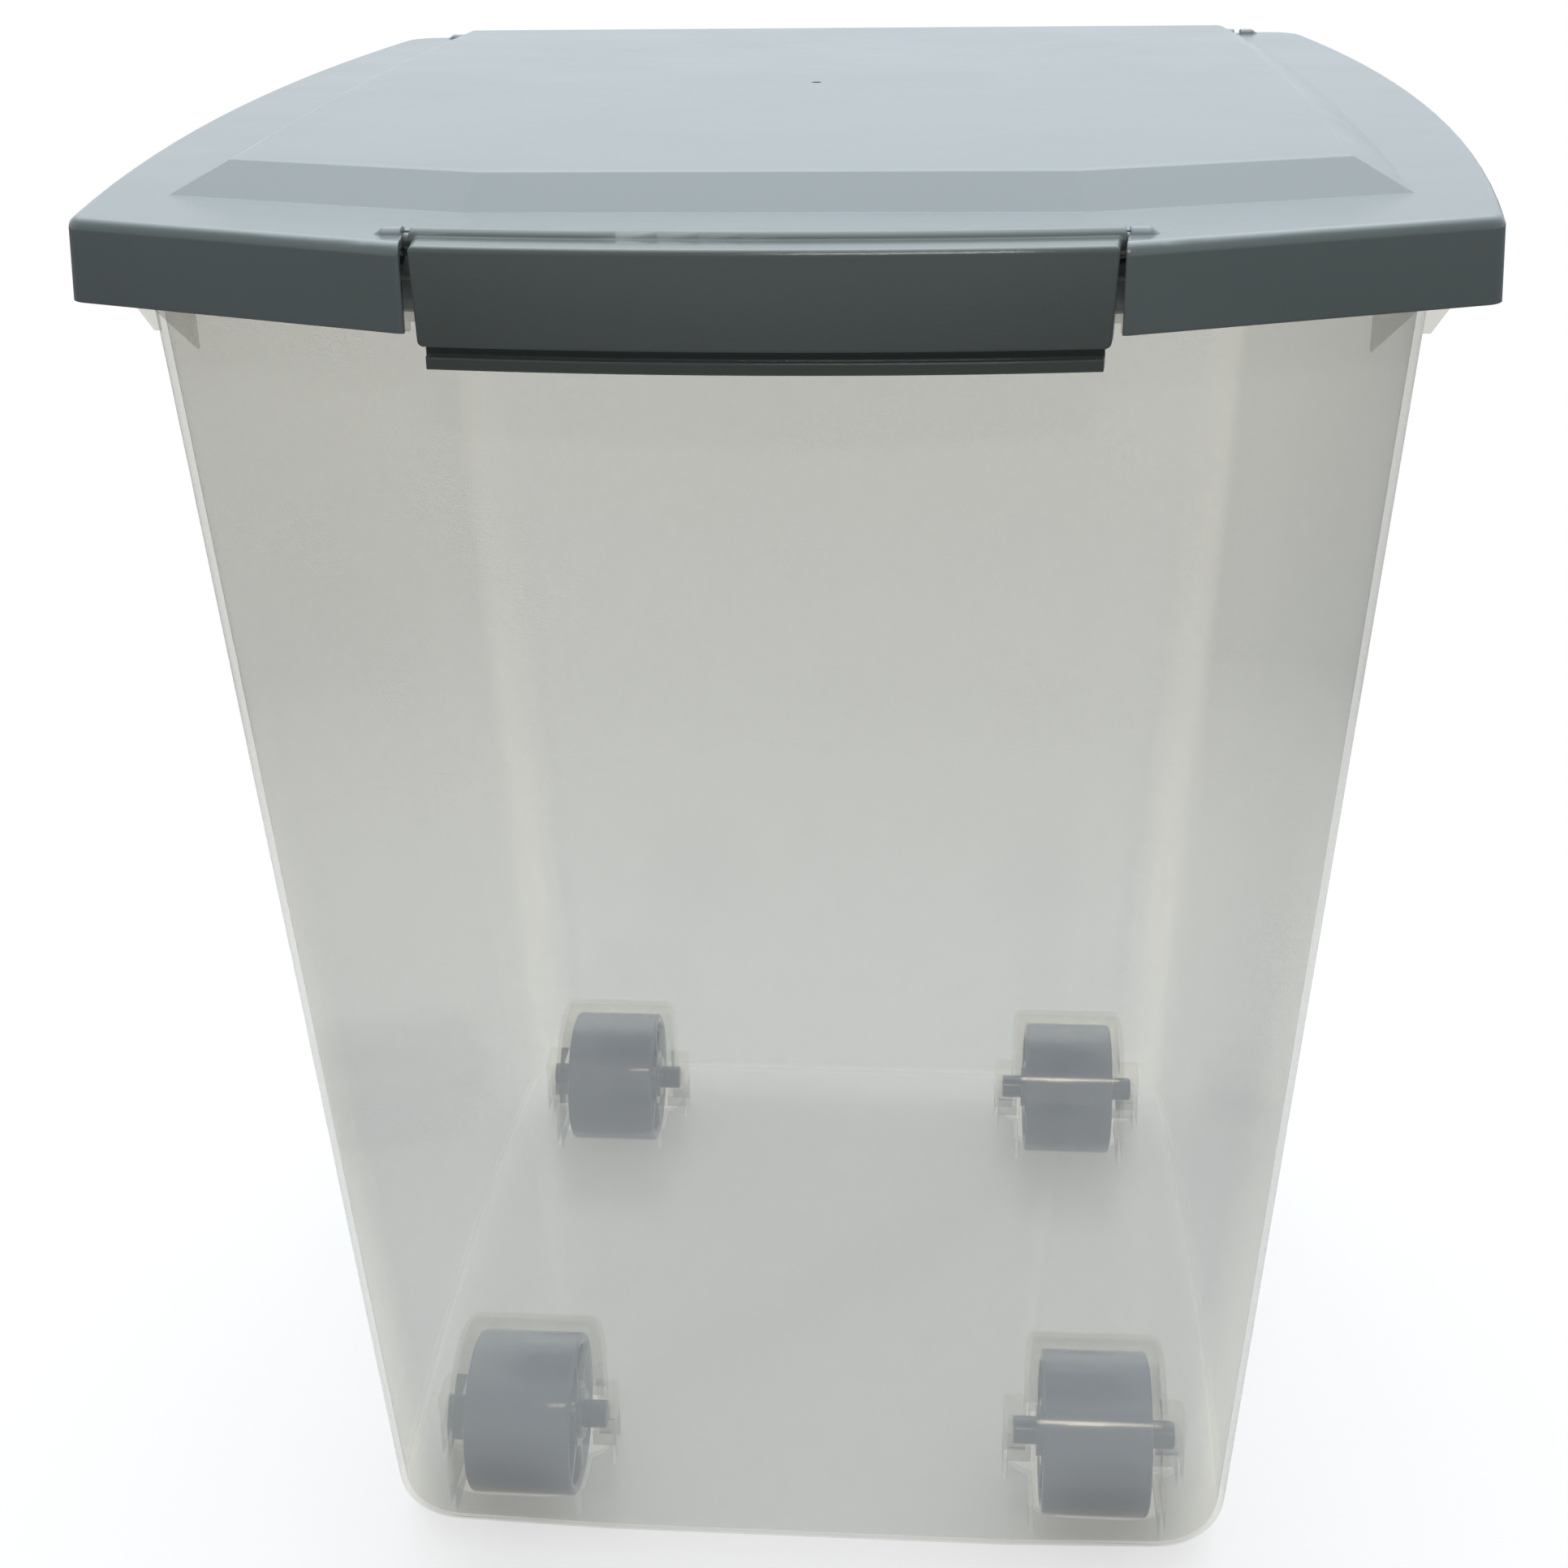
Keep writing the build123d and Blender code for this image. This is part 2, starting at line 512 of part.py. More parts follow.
def latch_plan(side_inset, face_inset, back_y, back_bow=0.0):
    """Plan of the latch, drawn in at its ends and face: bowed face, splayed ends, and a
    back that is straight or bowed like the face."""
    front_y = LATCH_END_Y + face_inset
    left_front = LATCH_LEFT_PLAY + side_inset - opening_half(front_y)
    right_front = opening_half(front_y) - LATCH_RIGHT_PLAY - side_inset
    left_back = LATCH_LEFT_PLAY + side_inset - opening_half(back_y)
    right_back = opening_half(back_y) - LATCH_RIGHT_PLAY - side_inset
    middle_front = ((left_front + right_front) / 2, front_y - LATCH_BOW)
    back = Line((right_back, back_y), (left_back, back_y))
    if back_bow:
        middle_back = ((left_back + right_back) / 2, back_y - back_bow)
        back = ThreePointArc((right_back, back_y), middle_back, (left_back, back_y))
    edges = [
        ThreePointArc((left_front, front_y), middle_front, (right_front, front_y)),
        Line((right_front, front_y), (right_back, back_y)),
        back,
        Line((left_back, back_y), (left_front, front_y)),
    ]
    return make_face(edges)


def latch_slab(side_inset, face_inset, back_y, z_low, z_high):
    """An upright layer of the latch, with a straight back."""
    return prism(latch_plan(side_inset, face_inset, back_y), z_low, z_high)


def latch_panel():
    """Fold and panel, with the panel's draft and rounded edges, hollow from below."""
    fold_low = LID_TOP_Z - LATCH_WALL
    foot = latch_plan(LATCH_END_DRAFT, 0.0, FRONT_BARREL_Y, LATCH_BOW)
    top = latch_plan(0.0, LATCH_DRAFT, FRONT_BARREL_Y, LATCH_BOW)
    panel = loft([Pos(0, 0, PANEL_BOTTOM_Z) * foot, Pos(0, 0, LID_TOP_Z) * top], ruled=True)
    face_and_ends = panel.edges().group_by(Axis.Z)[-1].sort_by(Axis.Y)[:3]
    corners = panel.edges().filter_by(GeomType.LINE).sort_by(Axis.Y)[:2]
    panel = fillet(face_and_ends + corners, LATCH_EDGE_R)
    foot = latch_plan(LATCH_END_DRAFT + LATCH_WALL, LATCH_WALL, FRONT_BARREL_Y + OVERSHOOT)
    top = latch_plan(LATCH_WALL, LATCH_DRAFT + LATCH_WALL, FRONT_BARREL_Y + OVERSHOOT)
    return panel - loft([Pos(0, 0, PANEL_BOTTOM_Z) * foot, Pos(0, 0, fold_low) * top], ruled=True)


def latch_ridge():
    """Round bar along the back of the fold, bowed like the panel's face."""
    half = opening_half(FRONT_BARREL_Y)
    left = LATCH_LEFT_PLAY - half
    right = half - LATCH_RIGHT_PLAY
    middle = ((left + right) / 2, FRONT_BARREL_Y - LATCH_BOW, BARREL_Z)
    spine = ThreePointArc((left, FRONT_BARREL_Y, BARREL_Z), middle, (right, FRONT_BARREL_Y, BARREL_Z))
    start = Plane(origin=spine @ 0, z_dir=spine % 0)
    return sweep(start * Circle(BARREL_R), path=spine)


def front_latch():
    """Latch that swings on two stub pins: ridge, fold, panel, groove, pull lip and catch."""
    # The end walls stop in front of the bin's flange
    body = latch_panel()
    body -= band(-FAR_OUT, FAR_OUT, LATCH_END_Y + CHEEK_DEPTH, FAR_OUT, 0, LID_TOP_Z - LATCH_WALL)
    body += latch_ridge()

    # Groove and pull lip under the panel, joined to it by a shelf
    side = LATCH_END_DRAFT + LIP_SIDE_INSET
    back = LATCH_END_Y + LATCH_WALL + GROOVE_DEPTH
    groove_low = PANEL_BOTTOM_Z - GROOVE_HEIGHT
    behind = latch_slab(0.0, LATCH_WALL + GROOVE_DEPTH, back + OVERSHOOT, 0, ABOVE_ALL)
    under_panel = latch_slab(side, SHELF_INSET, back, PANEL_BOTTOM_Z, PANEL_BOTTOM_Z + LATCH_WALL)
    under_panel += latch_slab(side, GROOVE_DEPTH, back, groove_low, PANEL_BOTTOM_Z)
    under_panel += latch_slab(side, LIP_FACE_INSET, back, groove_low - LIP_HEIGHT, groove_low)
    body += under_panel - behind

    # Catch: a shelf that reaches in to the edge of the bin's flange
    catch_y = LID_FLAT_Y + FLANGE_INSET - CATCH_GAP
    body += latch_slab(side, SHELF_INSET, catch_y, FLANGE_LOW_Z - CATCH_THICK, FLANGE_LOW_Z)

    half = opening_half(FRONT_BARREL_Y)
    for low, high in ((-half - PIN_REACH, STUB_ROOT - half + LATCH_LEFT_PLAY),
                      (half - LATCH_RIGHT_PLAY - STUB_ROOT, half + PIN_REACH)):
        body += cylinder_along_x(PIN_R, low, high, FRONT_BARREL_Y, BARREL_Z)
    return body


def rear_hinge_clip():
    """Clip that grips the bin's rear flange and carries the lid on its barrel."""
    half = CLIP_HALF_WIDTH
    panel_inner = CLIP_BACK_Y - CLIP_WALL
    body = band(-half, half, REAR_BARREL_Y, CLIP_BACK_Y, LID_TOP_Z - CLIP_WALL, LID_TOP_Z)
    body += band(-half, half, panel_inner, CLIP_BACK_Y, FLANGE_LOW_Z - CLIP_DROP, LID_TOP_Z)
    body = fillet(body.edges().filter_by(Axis.X).sort_by(Axis.Y)[-2:], CLIP_EDGE_R)
    body += cylinder_along_x(BARREL_R, -half, half, REAR_BARREL_Y, BARREL_Z)
    grip_y = REAR_WALL_Y + CLIP_WALL_GAP
    for low in (FLANGE_TOP_Z + CLIP_FIT, FLANGE_LOW_Z - CLIP_FIT - CLIP_RIB_THICK):
        body += band(-half, half, grip_y, panel_inner + CLIP_WALL / 2, low, low + CLIP_RIB_THICK)
    pin_end = CLIP_OPENING_X + PIN_REACH
    body += cylinder_along_x(PIN_R, -pin_end, pin_end, REAR_BARREL_Y, BARREL_Z)
    return body


def wheel():
    """Moulded wheel about its axle's centre: tread, hub, spokes and bore."""
    half = TREAD_WIDTH / 2
    hub_half = half + HUB_STEP
    body = cylinder_along_x(WHEEL_R, -half, half, 0, 0)
    body = fillet(body.edges().filter_by(GeomType.CIRCLE), TREAD_EDGE_R)
    body += cylinder_along_x(HUB_R, -hub_half, hub_half, 0, 0)
    recess_r = WHEEL_R - RIM_WALL
    for side in (-1, 1):
        x_low, x_high = sorted((side * (half - RECESS_DEPTH), side * (half + OVERSHOOT)))
        pocket = cylinder_along_x(recess_r, x_low, x_high, 0, 0)
        pocket -= cylinder_along_x(HUB_R + HUB_WALL, x_low, x_high, 0, 0)
        for turn in range(SPOKES):
            spoke = band(x_low, x_high, -SPOKE_THICK / 2, SPOKE_THICK / 2, 0, recess_r)
            pocket -= Rot(turn * 360 / SPOKES, 0, 0) * spoke
        body -= pocket
    return body - cylinder_along_x(AXLE_R + AXLE_BORE_FIT, -hub_half, hub_half, 0, 0)


def axle():
    """Axle that snaps into the two pods of a wheel well."""
    bar = cylinder_along_x(AXLE_R, -AXLE_HALF, AXLE_HALF, 0, 0)
    return chamfer(bar.edges().filter_by(GeomType.CIRCLE), AXLE_END_CHAMFER)


def write(node, shape):
    """Move a sub-part into the container's frame and write its file."""
    export_step(Pos(0, FOOTPRINT_SHIFT, 0) * shape, f"parts/{node}.step")


def main():
    os.makedirs("parts", exist_ok=True)
    write("storage_bin", storage_bin())
    write("lid", lid())
    write("lid_seal", lid_seal())
    write("front_latch", front_latch())
    write("rear_hinge_clip", rear_hinge_clip())
    one_wheel = wheel()
    one_axle = axle()
    for place, x, y in wheel_positions():
        write(f"{place}_wheel", Pos(x, y, WHEEL_R) * one_wheel)
        write(f"{place}_axle", Pos(x, y, WHEEL_R) * one_axle)


main()
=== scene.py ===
# %% [markdown]
# # A wheeled container for dry pet food
# The container is a see-through bin with a grey lid, a latch that folds over the bin's
# front edge, and four wheels that sit in wells moulded up from the floor.
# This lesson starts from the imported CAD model, which already has every piece at its real
# size, and gives it the finish of the real plastic, a camera and a studio.
# Lengths are in metres, as Blender has them, unless a name says mm.

import math

import bpy
from mathutils import Matrix, Vector


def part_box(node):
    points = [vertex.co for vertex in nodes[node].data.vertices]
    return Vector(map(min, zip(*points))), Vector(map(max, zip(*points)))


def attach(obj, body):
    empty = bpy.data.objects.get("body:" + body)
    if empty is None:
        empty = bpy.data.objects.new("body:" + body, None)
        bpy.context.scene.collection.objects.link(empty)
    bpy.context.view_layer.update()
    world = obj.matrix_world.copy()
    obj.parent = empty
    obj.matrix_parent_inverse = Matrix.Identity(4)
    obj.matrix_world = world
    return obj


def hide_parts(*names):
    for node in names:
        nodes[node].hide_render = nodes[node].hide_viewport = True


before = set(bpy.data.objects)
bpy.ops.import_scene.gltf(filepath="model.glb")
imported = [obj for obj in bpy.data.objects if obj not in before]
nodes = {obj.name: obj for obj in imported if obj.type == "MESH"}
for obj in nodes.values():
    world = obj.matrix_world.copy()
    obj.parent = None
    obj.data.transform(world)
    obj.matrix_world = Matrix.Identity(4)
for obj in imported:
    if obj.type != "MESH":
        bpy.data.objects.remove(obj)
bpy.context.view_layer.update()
print("pieces:", ", ".join(sorted(nodes)))

# %% [markdown]
# ## Colours
# A colour picked from a screen is in sRGB, which packs the dark shades closer together.
# Shaders work on light itself, which is linear.  One function turns a hex code into the
# numbers that a shader expects, so that every colour below can be read as a hex code.
# The numbers in it are those of the sRGB standard.

# %% One function for colours
def linear(hex_code):
    """An sRGB hex code such as "#8A959A" as linear red, green, blue and full alpha."""
    channels = []
    for start in (1, 3, 5):
        value = int(hex_code[start:start + 2], 16) / 255
        dark = value <= 0.04045
        channels.append(value / 12.92 if dark else ((value + 0.055) / 1.055) ** 2.4)
    return (*channels, 1.0)


WHITE = linear("#FFFFFF")
print("mid grey in linear light:", [round(v, 3) for v in linear("#808080")])

# %% [markdown]
# ## Building with nodes
# A node is a small step, such as a noise pattern or a mix, and its sockets are wired to
# the next step.  The first helper below adds one node, sets its options, fills its sockets
# and wires them.  The others use it for the steps that come back most often, so that each
# material or shape reads as a short list.

# %% A helper that adds one node
def add_node(tree, kind, inputs=None, **options):
    """Add a node.  An input that is given a socket is linked to it, and any other is set."""
    node = tree.nodes.new(kind)
    for name, value in options.items():
        setattr(node, name, value)
    for name, value in (inputs or {}).items():
        if isinstance(value, bpy.types.NodeSocket):
            tree.links.new(value, node.inputs[name])
        else:
            node.inputs[name].default_value = value
    return node


def maths(tree, operation, first, second):
    """The result of one step of arithmetic on two numbers."""
    node = add_node(tree, "ShaderNodeMath", {0: first, 1: second}, operation=operation)
    return node.outputs["Value"]


def remap(tree, value, start, end, low=0.0, high=1.0):
    """A value that runs from low to high, stretched to run from start to end."""
    node = add_node(tree, "ShaderNodeMapRange", {
        "Value": value, "From Min": low, "From Max": high, "To Min": start, "To Max": end})
    return node.outputs["Result"]


# %% [markdown]
# A material is a small tree of nodes that ends in an output.  A CAD piece gets its new
# material in place of the plain one that it came with, and its shape stays as it is.

# %% Helpers for materials
def new_material(name):
    """An empty node material, the tree inside it, and that tree's output node."""
    material = bpy.data.materials.new(name)
    material.use_nodes = True
    tree = material.node_tree
    tree.nodes.clear()
    return material, tree, tree.nodes.new("ShaderNodeOutputMaterial")


def assign(material, names):
    """Give CAD pieces one material in place of what they came with."""
    for name in names:
        mesh = nodes[name].data
        mesh.materials.clear()
        mesh.materials.append(material)
    print(material.name, "on", ", ".join(names))


# %% [markdown]
# ## The lid's plastic
# The lid, latch and rear clip are polypropylene with slate grey pigment, moulded in a tool
# whose faces were blasted to a fine satin grain.  Seen at a low angle the grain mirrors
# the bright ceiling and turns the lid pale.  Seen square on, as on the skirt, it is dark.
# A fine bump makes the grain, and a slow noise makes some patches a little glossier.
# Real grain is about 0.1 mm, too fine to show here, so it is drawn at 0.6 mm.
# A moulded edge is never quite sharp.  The Bevel node rounds the shading of every edge,
# so that edges catch the light, and leaves the shape as it is.
# The latch is moulded apart from the lid, and is a little darker and glossier.

# %% The lid's material
MM = 0.001
PLASTIC_IOR = 1.49
GRAIN_SIZE = 0.6 * MM
GRAIN_DEPTH = 0.03 * MM
PATCH_SIZE = 45 * MM
EDGE_RADIUS = 0.7 * MM
NOISE_SPAN = (0.3, 0.7)    # nearly all of a noise pattern lies between these


def satin_slate_polypropylene(name, shade, smoothest, roughest):
    """The lid's plastic in one shade of slate, between two roughnesses."""
    material, tree, output = new_material(name)
    place = add_node(tree, "ShaderNodeTexCoord").outputs["Object"]
    grain = add_node(tree, "ShaderNodeTexNoise", {
        "Vector": place, "Scale": 1 / GRAIN_SIZE, "Detail": 2.0})
    soft_edge = add_node(tree, "ShaderNodeBevel", {"Radius": EDGE_RADIUS}, samples=4)
    bump = add_node(tree, "ShaderNodeBump", {
        "Height": grain.outputs["Fac"], "Strength": 0.2, "Distance": GRAIN_DEPTH,
        "Normal": soft_edge.outputs["Normal"]})
    patches = add_node(tree, "ShaderNodeTexNoise", {
        "Vector": place, "Scale": 1 / PATCH_SIZE, "Detail": 3.0})
    roughness = remap(tree, patches.outputs["Fac"], smoothest, roughest, *NOISE_SPAN)
    plastic = add_node(tree, "ShaderNodeBsdfPrincipled", {
        "Base Color": linear(shade), "Roughness": roughness, "IOR": PLASTIC_IOR,
        "Normal": bump.outputs["Normal"]})
    tree.links.new(plastic.outputs["BSDF"], output.inputs["Surface"])
    return material


assign(satin_slate_polypropylene("satin_slate_polypropylene", "#636D6E", 0.19, 0.25),
       ["lid", "rear_hinge_clip"])
assign(satin_slate_polypropylene("glossier_slate_polypropylene", "#4F5756", 0.12, 0.16),
       ["front_latch"])

# %% [markdown]
# ## Where the wheel wells are
# The wells and the pods for the axles' ends belong to the bin's one moulding, so the bin's
# material has to know where they are.  A well is taken to be the box round its wheel and
# axle, grown by a margin.  For a point in it, the distance from the middle in each of the
# three directions is a share of half the box.  The sum of the fourth powers of these shares
# is less than 1 inside a form like that box with rounded corners.
# The wells start above the floor's top, so that the floor round them keeps its milk.

# %% A mask for the wheel wells
WHEELS = ["front_left", "front_right", "rear_left", "rear_right"]
WELL_MARGIN = Vector((4, 9, 9)) * MM    # how far a well reaches beyond its wheel and axle
FLOOR_LAYER = 3.5 * MM                  # from the bin's lowest point to just above its floor


def vector_maths(tree, operation, first, second, result="Vector"):
    """The result of one step of arithmetic on two vectors."""
    node = add_node(tree, "ShaderNodeVectorMath", {0: first, 1: second}, operation=operation)
    return node.outputs[result]


def squares_and_fourth_powers(tree, vector):
    """The square of each part of a vector, and the sum of the parts' fourth powers."""
    squares = vector_maths(tree, "MULTIPLY", vector, vector)
    return squares, vector_maths(tree, "DOT_PRODUCT", squares, squares, "Value")


def within_wells(tree, place):
    """1 on the wheel wells and their axle pods, else 0."""
    answer = 0.0
    floor_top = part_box("storage_bin")[0].z + FLOOR_LAYER
    for wheel in WHEELS:
        low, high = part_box(f"{wheel}_wheel")
        axle_low, axle_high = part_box(f"{wheel}_axle")
        low.x, high.x = axle_low.x, axle_high.x
        low, high = low - WELL_MARGIN, high + WELL_MARGIN
        low.z = floor_top
        offset = vector_maths(tree, "SUBTRACT", place, (low + high) / 2)
        share = vector_maths(tree, "DIVIDE", offset, (high - low) / 2)
        reach = squares_and_fourth_powers(tree, share)[1]
        answer = maths(tree, "ADD", answer, maths(tree, "LESS_THAN", reach, 1.0))
    return answer


print("wells for", ", ".join(WHEELS))

# %% [markdown]
# ## The bin's plastic
# The bin is polypropylene without pigment, moulded against smooth steel.  Light passes, but
# the plastic's crystals scatter part of it, so the wall looks milky rather than glassy.
# Some of that light comes back out of the face, and some glows through from behind, so the
# milk is a Diffuse and a Translucent shader, both slightly blue.  A slow noise makes it a
# little paler in places, as the plastic flowed in the mould.

# %% The milk
FLOW_SIZE = 70 * MM
GLOW_SHARE = 0.6


def milk(tree, place):
    """The light that the bin's plastic scatters, back out or on through."""
    flow = add_node(tree, "ShaderNodeTexNoise", {
        "Vector": place, "Scale": 1 / FLOW_SIZE, "Detail": 2.0})
    haze_colour = add_node(tree, "ShaderNodeMix", {
        "Factor": flow.outputs["Fac"], "A": linear("#DCE2EB"), "B": linear("#E6EBF2")},
        data_type="RGBA")
    haze = add_node(tree, "ShaderNodeBsdfDiffuse", {"Color": haze_colour.outputs["Result"]})
    glow = add_node(tree, "ShaderNodeBsdfTranslucent", {"Color": linear("#DEE4ED")})
    return add_node(tree, "ShaderNodeMixShader", {
        "Fac": GLOW_SHARE, 1: haze.outputs["BSDF"], 2: glow.outputs["BSDF"]})


print("share of the milk that glows through:", GLOW_SHARE)

# %% [markdown]
# Real refraction in a wall of about 2 mm hardly bends the view, and is slow to render.  So
# each face is drawn as a thin veil: most of the light goes straight through, and a share
# meets the milk.  That share follows what the photograph shows.
# A face seen edge on has much plastic in the light's way, so its veil is dense.
# A rounded edge works as a lens and shows as a pale band, mostly low down.  That band is
# painted light: the veil is thinned on such an edge, more so low down.  The sum of the
# fourth powers of the normal's parts is nearly 1 on the flat walls, which are close to
# square with the axes, and small on such an edge.
# The veil is thinner towards the rim and on the side walls, and thinnest in the wells,
# where the wheels show through.  This is painted light as well: near the rim it lifts the
# shade that the lid casts, on the side walls it makes up for the weaker light that falls
# there, and in the wells it lifts the shade inside them as well as showing the wheels.

# %% How dense the veil is
VEIL = 0.28                    # share of the light that meets the milk, seen square on
VEIL_EDGE_ON = 0.6             # the same, seen edge on
EDGE_ON_POWER = 8.0            # how late and steeply it rises towards edge on
# Painted light: the next three thin the veil on rounded edges, most low down, into a pale band.
PAINTED_BAND_SHARES = (0.45, 0.9)      # what a rounded edge leaves of the veil, low down and higher up
PAINTED_BAND_HEIGHTS = (0.1, 0.3)      # the heights that these two belong to
PAINTED_BAND_FLATNESS = (0.5, 0.92)    # from a round edge to a flat wall
# Painted light: the next two thin the veil towards the rim, to lift the shade that the lid casts
# there.
PAINTED_RIM_LIGHT_SHARE = 0.76               # what is left of the veil at the rim
PAINTED_RIM_LIGHT_HEIGHTS = (0.2, 0.42)      # where the veil starts and stops thinning towards it
# Painted light: the side walls get a thinner veil because less light falls on them.
PAINTED_SIDE_LIGHT_SHARE = 0.84         # what is left of the veil on the side walls
# Partly painted light: the thin veil in the wells lets the wheels show and lifts the shade
# inside the wells.
WELL_VIEW_AND_PAINTED_LIGHT_SHARE = 0.25              # what is left of it in the wells


def veil_and_painted_light_share(tree, place, normal, facing):
    """How much of the light that meets a face of the bin meets the milk, thinned in places as
    painted light.
    """
    height = add_node(tree, "ShaderNodeSeparateXYZ", {"Vector": place}).outputs["Z"]
    squares, flatness = squares_and_fourth_powers(tree, normal)
    sideways = add_node(tree, "ShaderNodeSeparateXYZ", {"Vector": squares}).outputs["X"]
    edge_on = maths(tree, "POWER", facing, EDGE_ON_POWER)
    # painted light: the pale band on rounded edges
    painted_band_share = remap(tree, height, *PAINTED_BAND_SHARES, *PAINTED_BAND_HEIGHTS)
    share = remap(tree, edge_on, VEIL, VEIL_EDGE_ON)
    # These four factors thin the veil as painted light, the last one only partly: a pale band on
    # rounded edges, lighter walls near the rim and on the side walls, and lighter wells.
    for factor in (
            remap(tree, flatness, painted_band_share, 1.0, *PAINTED_BAND_FLATNESS),
            remap(tree, height, 1.0, PAINTED_RIM_LIGHT_SHARE, *PAINTED_RIM_LIGHT_HEIGHTS),
            remap(tree, sideways, 1.0, PAINTED_SIDE_LIGHT_SHARE),
            remap(tree, within_wells(tree, place), 1.0, WELL_VIEW_AND_PAINTED_LIGHT_SHARE)):
        share = maths(tree, "MULTIPLY", share, factor)
    return share


print("veil from", VEIL, "to", VEIL_EDGE_ON, "edge on")

# %% [markdown]
# The smooth face also mirrors its surroundings, more so at a low angle.  A Fresnel node
# would give total reflection inside each wall and turn the bin dark, so a power of Layer
# Weight's Facing sets the gloss, which works alike from both sides.
# The clear part is a Transparent shader that warms the light slightly.

# %% The bin's material
MIRROR = 0.03            # share of the light that the face mirrors, seen square on
MIRROR_EDGE_ON = 0.3     # the same, seen edge on
MIRROR_POWER = 5.0       # how late and steeply it rises towards edge on


def natural_polypropylene():
    """See-through plastic without pigment."""
    material, tree, output = new_material("natural_polypropylene")
    spot = add_node(tree, "ShaderNodeTexCoord").outputs
    facing = add_node(tree, "ShaderNodeLayerWeight", {"Blend": 0.5}).outputs["Facing"]
    clear = add_node(tree, "ShaderNodeBsdfTransparent", {"Color": linear("#FFFEFA")})
    wall = add_node(tree, "ShaderNodeMixShader", {
        "Fac": veil_and_painted_light_share(tree, spot["Object"], spot["Normal"], facing),
        1: clear.outputs["BSDF"], 2: milk(tree, spot["Object"]).outputs["Shader"]})
    grazing = maths(tree, "POWER", facing, MIRROR_POWER)
    gloss = add_node(tree, "ShaderNodeBsdfAnisotropic", {"Color": WHITE, "Roughness": 0.12})
    surface = add_node(tree, "ShaderNodeMixShader", {
        "Fac": remap(tree, grazing, MIRROR, MIRROR_EDGE_ON),
        1: wall.outputs["Shader"], 2: gloss.outputs["BSDF"]})
    tree.links.new(surface.outputs["Shader"], output.inputs["Surface"])
    return material


assign(natural_polypropylene(), ["storage_bin"])

# %% [markdown]
# ## The wheels' plastic
# The wheels and axles are polypropylene too, filled with blue-grey pigment and moulded
# smooth, so that a lamp draws a thin bright line on them.  They are only seen through the
# bin.

# %% The wheels' material
def blue_grey_polypropylene():
    """Smooth plastic with blue-grey pigment."""
    material, tree, output = new_material("blue_grey_polypropylene")
    plastic = add_node(tree, "ShaderNodeBsdfPrincipled", {
        "Base Color": linear("#6C7290"), "Roughness": 0.12, "IOR": PLASTIC_IOR})
    tree.links.new(plastic.outputs["BSDF"], output.inputs["Surface"])
    return material


wheel_plastic = blue_grey_polypropylene()
assign(wheel_plastic, [f"{wheel}_axle" for wheel in WHEELS])

# %% [markdown]
# ## The seal's rubber
# The seal is a cord of closed-cell foam rubber, pale and dull, pressed into its channel
# under the lid.  It shows only when the lid is open.

# %% The seal's material
CELL_SIZE = 0.8 * MM
CELL_DEPTH = 0.1 * MM


def foam_rubber():
    """Dull rubber with a fine pattern of cells."""
    material, tree, output = new_material("foam_rubber")
    place = add_node(tree, "ShaderNodeTexCoord").outputs["Object"]
    cells = add_node(tree, "ShaderNodeTexVoronoi", {"Vector": place, "Scale": 1 / CELL_SIZE})
    bump = add_node(tree, "ShaderNodeBump", {
        "Height": cells.outputs["Distance"], "Strength": 0.3, "Distance": CELL_DEPTH})
    rubber = add_node(tree, "ShaderNodeBsdfPrincipled", {
        "Base Color": linear("#CFCFCB"), "Roughness": 0.8, "IOR": 1.52,
        "Normal": bump.outputs["Normal"]})
    tree.links.new(rubber.outputs["BSDF"], output.inputs["Surface"])
    return material


assign(foam_rubber(), ["lid_seal"])

# %% [markdown]
# ## Wheels from Geometry Nodes
# A wheel is a turned form with equal spokes, so a node tree can make it from a few sizes.
# The hollow wheel is moulded in one shot: a tread, a thick web, a hub that stands out a
# little to keep the tread off the well, and six spokes on each side.
# A ring of any size is a rounded rectangle swept round a circle, so one small node group
# makes the tread, the web, the boss and the hub.

# %% A node group that turns a ring
RING_SIZES = ("Width", "Inner Radius", "Outer Radius", "Rounding")
RING_STEPS = 96
ROUNDING_STEPS = 3


def new_shape_tree(name, sizes, counts=()):
    """A Geometry Nodes tree with named sizes, and its input and output nodes."""
    tree = bpy.data.node_groups.new(name, "GeometryNodeTree")
    for size in sizes:
        tree.interface.new_socket(size, in_out="INPUT", socket_type="NodeSocketFloat")
    for count in counts:
        tree.interface.new_socket(count, in_out="INPUT", socket_type="NodeSocketInt")
    tree.interface.new_socket("Geometry", in_out="OUTPUT", socket_type="NodeSocketGeometry")
    return tree, tree.nodes.new("NodeGroupInput"), tree.nodes.new("NodeGroupOutput")


